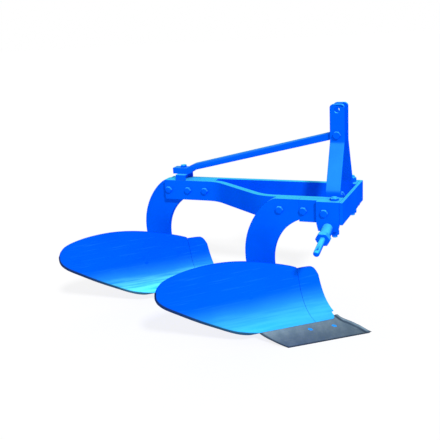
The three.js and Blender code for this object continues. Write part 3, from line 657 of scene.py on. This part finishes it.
def shin_outline(across, up):
    """From the share's top to the shin's top line, and from the land side to the seam."""
    top = smooth_line(shin_top, across)
    aside = top[..., 0] * seam_foot
    foot = seam_bottom + nose(aside) + notch_rise * falling(aside, notch_full, notch_end)
    z = foot + (top[..., 1] - foot) * up
    return top[..., 0] * (seam_reach(z) + proud(z)) - proud(z), z


def share_outline(across, up):
    """A band along the foot of the face, a little wider at its top, with its nose."""
    reach = across * (share_width + share_flare * up)
    return reach, (share_height + nose(reach)) * up


# %% Distances from a plate's rims
far_off = 1000.0


def edge_distance(front, rims):
    """Distance of each grid point from the named rims, measured along the grid's lines:
    the running sum of the steps from that rim. For "land" it is twice the distance from
    the foot of the fin. Where no rim is named it is far_off."""
    far = np.full(front.shape[:2], far_off)
    up = np.linalg.norm(np.diff(front, axis=1), axis=-1)
    along = np.linalg.norm(np.diff(front, axis=0), axis=-1)
    if "low" in rims:
        far = np.minimum(far, np.pad(np.cumsum(up, axis=1), ((0, 0), (1, 0))))
    if "tail" in rims:
        from_tail = np.cumsum(along[::-1], axis=0)[::-1]
        far = np.minimum(far, np.pad(from_tail, ((0, 1), (0, 0))))
    if "land" in rims:
        from_land = np.pad(np.cumsum(along, axis=0), ((1, 0), (0, 0)))
        far = np.minimum(far, 2 * np.abs(from_land - fin_foot))
    return far


def add_map(piece, name, first, second):
    """A map of two values for each grid point, in metres, the same on the front and the
    back."""
    values = np.stack([first, second], axis=-1).reshape(-1, 2) * MM
    corner = np.zeros(len(piece.data.loops), int)
    piece.data.loops.foreach_get("vertex_index", corner)
    layer = piece.data.uv_layers.new(name=name)
    layer.data.foreach_set("uv", values[corner % len(values)].ravel())


# %% Make a plate of the working face
plate_rim = 1.2


def face_plate(name, outline, grid, step, rims=(), lift=None, out=None):
    """A plate between depth 0 and the plate's thickness over an outline, with grid columns
    and rows. It is cut flat at the ground, and at the land plane or out(z) beyond it, and
    lift(reach, z) raises the points of its front. Its map "plate" holds reach and height,
    for streaks and scratches, and its map "rim" the distance from the named rims."""
    across, up = np.meshgrid(*(np.linspace(0, 1, count) for count in grid), indexing="ij")
    reach, z = outline(across, up)
    front = behind_face(reach, z, np.zeros_like(z))
    rear = behind_face(reach, z, np.full_like(z, plate_thick))
    if lift:
        front[..., 2] += lift(reach, z)
    for side in (front, rear):
        side[..., 1] = np.minimum(side[..., 1], land_plane + (out(z) if out else 0))
        side[..., 2] = np.maximum(side[..., 2], 0)
    piece = plate(name, front + step, rear + step)
    from_rim = edge_distance(front, rims)
    add_map(piece, "plate", reach, z)
    add_map(piece, "rim", from_rim, from_rim)
    return round_rims(piece, plate_rim)


# %% Both bodies' mouldboards, shins and shares
board_grid, shin_grid, share_grid = (121, 61), (41, 61), (101, 25)
board_rims, share_rims = ("low",), ("low", "tail", "land")
steps = {"front": 0 * body_step, "rear": body_step}
for body, step in steps.items():
    name = f"{body}_mouldboard"
    board = face_plate(f"{name}_plate", mouldboard_outline, board_grid, step, board_rims)
    hand_over(board, face_enamels[body], [name])
    name = f"{body}_shin"
    shin = face_plate(f"{name}_plate", shin_outline, shin_grid, step, out=proud)
    hand_over(shin, face_enamels[body], [name])
    name = f"{body}_share"
    share = face_plate(f"{name}_blade", share_outline, share_grid, step, share_rims, fin)
    hand_over(share, share_steel, [name])
print("plates:", list(made))

# %% [markdown]
# ## Bars, plates and castings
#
# Beams, legs, brackets and the like have the right shape already. What they lack is the
# small radius that every sawn or rolled edge has, and that catches the light. So each
# gets a copy of its mesh with the loose triangles merged and the flat ones joined, and a
# bevel along its sharp edges. Rebuilding them from arrays would give the same solid
# again with more work.

# %% Copy a solid and soften its edges
import bmesh

merge_within, flat_within = 2e-6, math.radians(0.5)


def softened(node, width):
    """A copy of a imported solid: doubles merged, flat neighbours joined, edges bevelled."""
    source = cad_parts[node]
    mesh = bpy.data.meshes.new(f"{node}_soft")
    work = bmesh.new()
    work.from_mesh(source.data)
    bmesh.ops.remove_doubles(work, verts=work.verts, dist=merge_within)
    bmesh.ops.dissolve_limit(
        work, angle_limit=flat_within, verts=work.verts, edges=work.edges
    )
    work.to_mesh(mesh)
    work.free()
    smoothed(mesh, crease_angle)
    return round_rims(added(f"{node}_soft", mesh), width, crease_angle)


# %% Every bar, plate and casting
edge_widths = {
    "right_beam": 2.0,
    "left_beam": 2.0,
    "cross_plate": 1.4,
    "right_filler": 1.0,
    "left_filler": 1.0,
    "rear_filler": 1.0,
    "right_hitch_bracket": 1.6,
    "left_hitch_bracket": 1.6,
    "mast_right_leg": 1.6,
    "mast_left_leg": 1.6,
    "diagonal_brace": 1.8,
    "brace_stand": 1.4,
}
for body in ("front", "rear"):
    edge_widths[f"{body}_leg"] = 2.4
    edge_widths[f"{body}_frog"] = 1.0
    edge_widths[f"{body}_landside"] = 1.0
    edge_widths[f"{body}_heel"] = 1.2
    edge_widths[f"{body}_stay"] = 1.0
for node, width in edge_widths.items():
    paint = brace_enamel if node == "diagonal_brace" else frame_enamel
    hand_over(softened(node, width), paint, [node])
print("softened solids:", len(edge_widths))

# %% [markdown]
# ## Turned pieces
#
# A bolt, a nut and a hitch pin are profiles carried round an axis. The radius may change
# on the way round, and that gives a hexagon: the radius is the smaller of the hexagon's
# and of the cone that chamfers its corners. A screw thread is a small saw-tooth of the
# radius that climbs as it goes round.

# %% Carry rings round an axis
turn_steps = 48
turn = np.linspace(0, 2 * np.pi, turn_steps, endpoint=False)
turned_crease_angle = 32.0


def circle_round(way):
    """Unit steps square to a way, all round it: cos(turn) times one side plus sin(turn)
    times the other."""
    side = np.cross(way, [1.0, 0.0, 0.0])
    side /= np.linalg.norm(side)
    return np.cos(turn)[:, None] * side + np.sin(turn)[:, None] * np.cross(way, side)


def tube(name, rings, closed=False, smooth_angle=crease_angle):
    """A closed surface through rings of drawing points, quads from each ring to the next.
    Its ends close on one point each, or the last ring joins the first."""
    index = np.arange(len(rings) * turn_steps).reshape(-1, turn_steps)
    lower = index if closed else index[:-1]
    upper = np.roll(index, -1, axis=0) if closed else index[1:]
    quads = np.stack([lower, np.roll(lower, -1, 1), np.roll(upper, -1, 1), upper], axis=-1)
    points, faces = rings.reshape(-1, 3), [quads.reshape(-1, 4)]
    if not closed:
        ends = np.stack([rings[0].mean(axis=0), rings[-1].mean(axis=0)])
        low, high = np.full(turn_steps, len(points)), np.full(turn_steps, len(points) + 1)
        faces.append(np.stack([np.roll(index[0], -1), index[0], low], axis=-1))
        faces.append(np.stack([index[-1], np.roll(index[-1], -1), high], axis=-1))
        points = np.concatenate([points, ends])
    return make_piece(name, placed(points), faces, smooth_angle)


def turned(name, along, radius, start, way, closed=False):
    """A tube round an axis: ring k has its points at along[k] on it and radius[k] from
    it."""
    way = np.asarray(way, float) / np.linalg.norm(way)
    rings = np.asarray(start) + along[..., None] * way + radius[..., None] * circle_round(way)
    return tube(name, rings, closed, turned_crease_angle)


# %% Plain rings, and several parts one after the other


def all_round(values):
    """Each value repeated for every step of the turn."""
    return np.repeat(np.asarray(values, float)[:, None], turn_steps, axis=1)


def rings_at(*places):
    """Plain rings, each from its place on the axis and its radius."""
    along, radius = zip(*places)
    return all_round(along), all_round(radius)


def stacked(*parts):
    """Rings of several parts one after the other."""
    return np.concatenate([p[0] for p in parts]), np.concatenate([p[1] for p in parts])


# %% Rings of a hexagon and of a thread
chamfer_depth, chamfer_slope, washer_share = 0.10, 1.73, 0.96
chamfer_steps = np.array([0.0, 0.25, 0.5, 1.0])
thread_pitch, thread_height, rings_per_pitch, fewest_rings = 2.0, 0.45, 6, 4


def hexagon(wide):
    """Radius of a hexagon at each step of the turn: half its width over the cosine of the
    angle to the middle of the nearest flat."""
    nearest = (turn + np.pi / 6) % (np.pi / 3) - np.pi / 6
    return wide / 2 / np.cos(nearest)


def hexagon_rings(low, high, wide, both=True):
    """Rings of a hexagonal prism from low to high. A chamfer is a cone of 30 degrees whose
    face ends a little inside the flats, at the low end alone or at both."""
    near = wide * chamfer_depth * chamfer_steps
    along = all_round(np.concatenate([low + near, high - near[::-1]]))
    flat = wide / 2 * washer_share
    cone = flat + (along - low) * chamfer_slope
    if both:
        cone = np.minimum(cone, flat + (high - along) * chamfer_slope)
    return along, np.minimum(hexagon(wide), cone)


def thread_rings(low, high, radius):
    """A thread: the radius drops and rises by a triangle wave of along / pitch + turn."""
    count = max(int((high - low) / thread_pitch * rings_per_pitch), fewest_rings)
    along = all_round(np.linspace(low, high, count))
    wave = (along / thread_pitch + turn / (2 * np.pi)) % 1.0
    tooth = np.abs(2 * wave - 1) * thread_pitch * thread_height
    return along, radius - tooth


# %% [markdown]
# ## Bolts and nuts
#
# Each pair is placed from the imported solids: the box of a bolt gives its axis and its two
# ends, and only the sizes of head, shank and thread are given here. On the real plough
# the heads were painted with the rest, so they take the same enamel with a livelier
# mottle.

# %% Read a fastener's place from its box
axes = {"left": (0, 1, 0), "right": (0, -1, 0), "down": (0, 0, -1)}


def drawn_box(node):
    """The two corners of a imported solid's box, in drawing millimetres."""
    return [(np.array(corner) - drawing_origin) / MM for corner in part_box(node)]


def axis_span(node, way):
    """Start point on the axis and length of a node along a way, in drawing millimetres."""
    low, high = drawn_box(node)
    way = np.array(axes[way], float)
    length = abs((high - low) @ way)
    return (low + high) / 2 - way * length / 2, length


# %% The shapes of a bolt and a nut
hexagon_wide, head_high, shank_radius, nut_bore = 24.0, 10.0, 8.0, 8.6
crown_share, crown_start, middle_share = 0.8, 0.8, 0.2
thread_share, thread_start, end_share, end_high = 2.6, 0.2, 0.82, 1.0
mouth_wider, mouth_deep = 1.2, 1.0


def make_bolt(node, way, wide=hexagon_wide, head=head_high, radius=shank_radius, crown=0.0):
    """A hexagon bolt: an optional threaded crown, the head, the shank, a threaded end."""
    start, length = axis_span(node, way)
    seat, tail = crown + head, length - radius * thread_share
    parts = [rings_at((0, wide * middle_share))]
    if crown:
        parts = [rings_at((0, radius * crown_share)), thread_rings(crown_start, crown, radius)]
    along, rings = stacked(
        *parts,
        hexagon_rings(crown, seat, wide, both=False),
        rings_at((seat, radius), (tail, radius)),
        thread_rings(tail + thread_start, length - end_high, radius),
        rings_at((length, radius * end_share)),
    )
    return turned(f"{node}_turned", along, rings, start, axes[way])


def make_nut(node, way, wide=hexagon_wide, bore=nut_bore):
    """A hexagon nut: an outer hexagon chamfered on both faces, joined to its bore."""
    start, length = axis_span(node, way)
    mouth, deep = bore + mouth_wider, mouth_deep
    inner = rings_at((length, mouth), (length - deep, bore), (deep, bore), (0, mouth))
    along, rings = stacked(hexagon_rings(0, length, wide), inner)
    return turned(f"{node}_turned", along, rings, start, axes[way], closed=True)


# %% Every common pair
pairs = {
    "front_leg": "left",
    "front_filler": "left",
    "rear_leg": "left",
    "rear_filler_1": "left",
    "rear_filler_2": "left",
    "right_bracket": "left",
    "left_bracket": "right",
    "mast": "left",
    "brace": "down",
}
for name, way in pairs.items():
    hand_over(make_bolt(f"{name}_bolt", way), bolt_enamel, [f"{name}_bolt"])
    hand_over(make_nut(f"{name}_nut", way), bolt_enamel, [f"{name}_nut"])
print("common pairs:", len(pairs))

# %% The stouter clamp bolts, whose threads stand out over their heads
clamp_wide, clamp_radius, clamp_bore = 28.0, 10.0, 10.6
clamp_heads = {"right": (9.0, 3.0), "left": (17.0, 7.0)}
for side, (head, crown) in clamp_heads.items():
    name = f"{side}_clamp_bolt"
    clamp = make_bolt(name, "down", clamp_wide, head, clamp_radius, crown)
    hand_over(clamp, bolt_enamel, [name])
    name = f"{side}_clamp_nut"
    hand_over(make_nut(name, "down", clamp_wide, clamp_bore), bolt_enamel, [name])
print("bolts and nuts so far:", sum("_turned" in name for name in made))

# %% [markdown]
# The landside is held by flat-headed bolts whose heads lie flush in cones, because soil
# slides over them. Their nuts sit inside the body.

# %% Flush bolts of the landsides
# Place on the axis and radius of each ring: flat face, rounded edge, foot of the cone.
flush_head = ((0, 6), (0, 14.2), (0.6, 15), (7, 8))
flush_thread, flush_end_radius = 20.0, 6.6


def make_flush_bolt(node):
    """A countersunk bolt along -Y: flat face, cone down to the shank, threaded end."""
    start, length = axis_span(node, "right")
    tail = length - flush_thread
    along, rings = stacked(
        rings_at(*flush_head, (tail, shank_radius)),
        thread_rings(tail + thread_start, length - end_high, shank_radius),
        rings_at((length, flush_end_radius)),
    )
    return turned(f"{node}_turned", along, rings, start, axes["right"])


for body in steps:
    for number in (1, 2):
        bolt = f"{body}_frog_bolt_{number}"
        hand_over(make_flush_bolt(bolt), bolt_enamel, [bolt])
        nut = f"{body}_frog_nut_{number}"
        hand_over(make_nut(nut, "left"), bolt_enamel, [nut])
print("bolts and nuts in all:", sum("_turned" in name for name in made))

# %% [markdown]
# ## Hitch pins
#
# The tractor's lower links slip over two pins. Each is a boss welded to the bracket, a
# hexagonal collar to stop the link, and a pin with a rounded end that is drilled for a
# linch pin. It droops, so its foot is cut along the bracket's face: each point of the
# boss starts where its own line meets that plane.

# %% One pin, drooping by its angle
pin_droop = math.radians(14.5)
bracket_foot, pin_above_foot, pin_x = 388.0, 8.0, -145.0
boss_end, collar_end, collar_wide, pin_tip = 51.0, 71.0, 46.0, 161.0
# Place on the axis and radius of each ring: the boss, the pin and its rounded tip.
boss_rings = ((-40, 3), (-40, 20), (boss_end - 1.5, 20), (boss_end, 18.6))
pin_rings = ((collar_end, 12.2), (collar_end + 1.2, 11), (pin_tip - 8, 11))
tip_rings = ((pin_tip - 4.6, 10.4), (pin_tip - 1.8, 8.4), (pin_tip - 0.5, 6), (pin_tip, 3))


def pin_place(node, side):
    """Where a pin's axis meets its bracket's face, the pin's way outwards and down, and
    the way square to it along which it is drilled."""
    face = drawn_box(node)[1 if side < 0 else 0][1]
    way = np.array([0.0, side * math.cos(pin_droop), -math.sin(pin_droop)])
    across = np.array([0.0, side * math.sin(pin_droop), math.cos(pin_droop)])
    return np.array([pin_x, face, bracket_foot + pin_above_foot]), way, across


def make_pin(node, side):
    """Rings of boss, collar, pin and tip. No point lies behind the bracket's face, on
    which along = -radius * the circle's y / the way's y."""
    start, way, _ = pin_place(node, side)
    collar = hexagon_rings(boss_end, collar_end, collar_wide)
    along, rings = stacked(rings_at(*boss_rings), collar, rings_at(*pin_rings, *tip_rings))
    along = np.maximum(along, -rings * circle_round(way)[:, 1] / way[1])
    return turned(f"{node}_turned", along, rings, start, way)


# %% Drill the pin for its linch pin
hole_from_tip, hole_radius, hole_reach = 20.0, 5.5, 20.0


def drilled(piece, start, way, radius, length):
    """Cuts a round hole: a turned cutter, a Boolean, and the cut mesh kept."""
    cutter = turned("drill", *rings_at((0, radius), (length, radius)), start, way)
    hole = piece.modifiers.new("hole", "BOOLEAN")
    hole.object = cutter
    hole.solver = "EXACT"
    seen = piece.evaluated_get(bpy.context.evaluated_depsgraph_get())
    mesh = bpy.data.meshes.new_from_object(seen)
    piece.modifiers.clear()
    piece.data = mesh
    bpy.data.objects.remove(cutter)
    return piece


for side, name in ((-1, "right_hitch_pin"), (1, "left_hitch_pin")):
    start, way, across = pin_place(name, side)
    entry = start + way * (pin_tip - hole_from_tip) - across * hole_reach
    pin = drilled(make_pin(name, side), entry, across, hole_radius, 2 * hole_reach)
    hand_over(pin, frame_enamel, [name])
print("hitch pins:", [name for name in made if "hitch_pin" in name])

# %% [markdown]
# ## Flush bolts on the faces
#
# Share and mouldboard are held by bolts whose flat heads lie in the face. Only a disc
# shows, a hair proud of the plate. Each disc follows the face that it lies in: its
# points are worked out on the working face itself, at a depth just in front of it.

# %% A disc on the working face
head_radius, head_proud, head_sunk, head_fall = 7.5, 0.5, 2.0, 0.6
head_rings = np.array([0.35, 0.7, 0.9, 1.0, 1.0])[:, None]
# The heads' tops take the pale blue as painted top light.
head_enamel = enamel("head_enamel", light=BLUE_PAINTED_PALE_LIGHT, mottle=0.3)


def face_scale(reach, z, aside, up):
    """Length on the face of one millimetre aside along a level line, or up in height."""
    after = face_point(np.array(reach + aside), np.array(z + up))
    before = face_point(np.array(reach - aside), np.array(z - up))
    return np.linalg.norm(after - before) / 2


def face_head(name, reach, z, step):
    """Rings of points round (reach, z) on the working face, moved out by head_proud times
    the low dome 1 - 0.6 r^4, and a last ring sunk into the plate."""
    dome = (1 - head_fall * head_rings**4) * head_proud
    dome[-1] = -head_sunk
    aside = head_radius * head_rings * np.cos(turn) / face_scale(reach, z, 1.0, 0.0)
    up = head_radius * head_rings * np.sin(turn) / face_scale(reach, z, 0.0, 1.0)
    depth = -np.broadcast_to(dome, aside.shape)
    rings = behind_face(reach + aside, z + up, depth) + step
    return hand_over(tube(name, rings), head_enamel)


# %% Heads on the shares and the mouldboards
heads = {
    "share_head": ((96.5, 31.0), (39.9, 28.7)),
    "board_head": ((189.5, 171.2), (200.1, 193.8)),
}
for body, step in steps.items():
    for kind, places in heads.items():
        for number, (reach, z) in enumerate(places, 1):
            face_head(f"{body}_{kind}_{number}", reach, z, step)
print("pieces made in all:", len(made))

# %% [markdown]
# ## Floor
#
# The plough stands on a plain white floor. Most of what the camera sees of the floor is
# its own even white, so the picture's background stays clean, and the rest is ordinary
# diffuse white that keeps the plough's shadow.

# %% A wide white floor
floor_reach = 40.0
floor_white, floor_grain, grain_scale = 0.97, 0.98, 4.0
shadow_share = 0.22
even_white = 1.035


def grey(level):
    """A grey of that level, as a colour."""
    return (level, level, level, 1.0)


def white_floor():
    """Diffuse white, mixed for camera, mirror and glass rays with an even white, so that
    only a share of each shadow shows and the rest of the floor meets the room's white."""
    graph = Graph("white_floor")
    grain = graph.noise(graph.place(), grain_scale)
    tone = graph.blend(grain, grey(floor_white * floor_grain), grey(floor_white))
    diffuse = graph.make("ShaderNodeBsdfDiffuse", {}, {"Color": tone})
    even = graph.make("ShaderNodeEmission", {}, {"Color": grey(1.0), "Strength": even_white})
    seen = graph.seen_directly() * (1.0 - shadow_share)
    return graph.finish(graph.make("ShaderNodeMixShader", {}, {0: seen, 1: diffuse, 2: even}))


floor_corners = np.array([(-1, -1, 0), (1, -1, 0), (1, 1, 0), (-1, 1, 0)]) * floor_reach
floor_mesh = bpy.data.meshes.new("floor")
floor_mesh.from_pydata(floor_corners.tolist(), [], [(0, 1, 2, 3)])
floor = added("floor", floor_mesh)
floor.data.materials.append(white_floor())
print("floor, m across:", 2 * floor_reach)

# %% [markdown]
# ## Light
#
# A studio with white walls lights the plough evenly from all round, and one broad lamp
# stands high in front of it to the right. A sun lamp gives the same light everywhere,
# and its wide angle keeps the edges of the shadows soft.

# %% Even light from all round
room_level = 0.48


def white_room():
    """World light: room_level for what lights surfaces, and white for camera, mirror and
    glass rays."""
    world = bpy.data.worlds.new("white_room")
    graph = Graph("white_room", world)
    light = {"Color": grey(1.0), "Strength": room_level}
    lamp = graph.make("ShaderNodeBackground", {}, light)
    even = graph.make("ShaderNodeBackground", {}, {"Color": grey(1.0), "Strength": 1.0})
    room = graph.make("ShaderNodeMixShader", {}, {0: graph.seen_directly(), 1: lamp, 2: even})
    graph.make("ShaderNodeOutputWorld", {}, {"Surface": room})
    bpy.context.scene.world = world


white_room()
print("room level:", room_level)

# %% One broad lamp, high in front and to the right
lamp_towards = Vector((0.52, -0.62, 0.59)).normalized()
lamp_strength, lamp_width = 2.6, math.radians(6)
lamp_data = bpy.data.lights.new("broad_lamp", "SUN")
lamp_data.energy = lamp_strength
lamp_data.angle = lamp_width
lamp = added("broad_lamp", lamp_data)
lamp.rotation_euler = lamp_towards.to_track_quat("Z", "Y").to_euler()
print("lamp shines from", [round(value, 3) for value in lamp_towards])

# %% [markdown]
# ## Camera
#
# The camera stands in front of the plough and to its right, a little above it. Its place
# is given as one would say it: what it looks at, from which side, how high, how far, and
# how much the picture is rolled.

# %% Place the camera
look_at = np.array([-555.25, 0.0, 400.04])
camera_round, camera_high, camera_roll = map(math.radians, (23.91, 16.211, -3.448))
camera_away = 2492.84
focal_pixels, picture_pixels, film_width = 672.19, 440.0, 36.0

back = np.array(
    [
        math.sin(camera_round) * math.cos(camera_high),
        -math.cos(camera_round) * math.cos(camera_high),
        math.sin(camera_high),
    ]
)
right = np.array([math.cos(camera_round), math.sin(camera_round), 0.0])
upright = np.cross(back, right)
rolled_right = right * math.cos(camera_roll) + upright * math.sin(camera_roll)
rolled_up = -right * math.sin(camera_roll) + upright * math.cos(camera_roll)
camera_data = bpy.data.cameras.new("camera")
camera_data.sensor_width = film_width
camera_data.sensor_fit = "HORIZONTAL"
camera_data.lens = focal_pixels / picture_pixels * film_width
camera = added("camera", camera_data)
pose = Matrix(np.stack([rolled_right, rolled_up, back], axis=1).tolist()).to_4x4()
pose.translation = Vector(placed(look_at + back * camera_away))
camera.matrix_world = pose
bpy.context.scene.camera = camera
bpy.context.scene.view_settings.view_transform = "Standard"
print("camera at", [round(value, 3) for value in pose.translation])
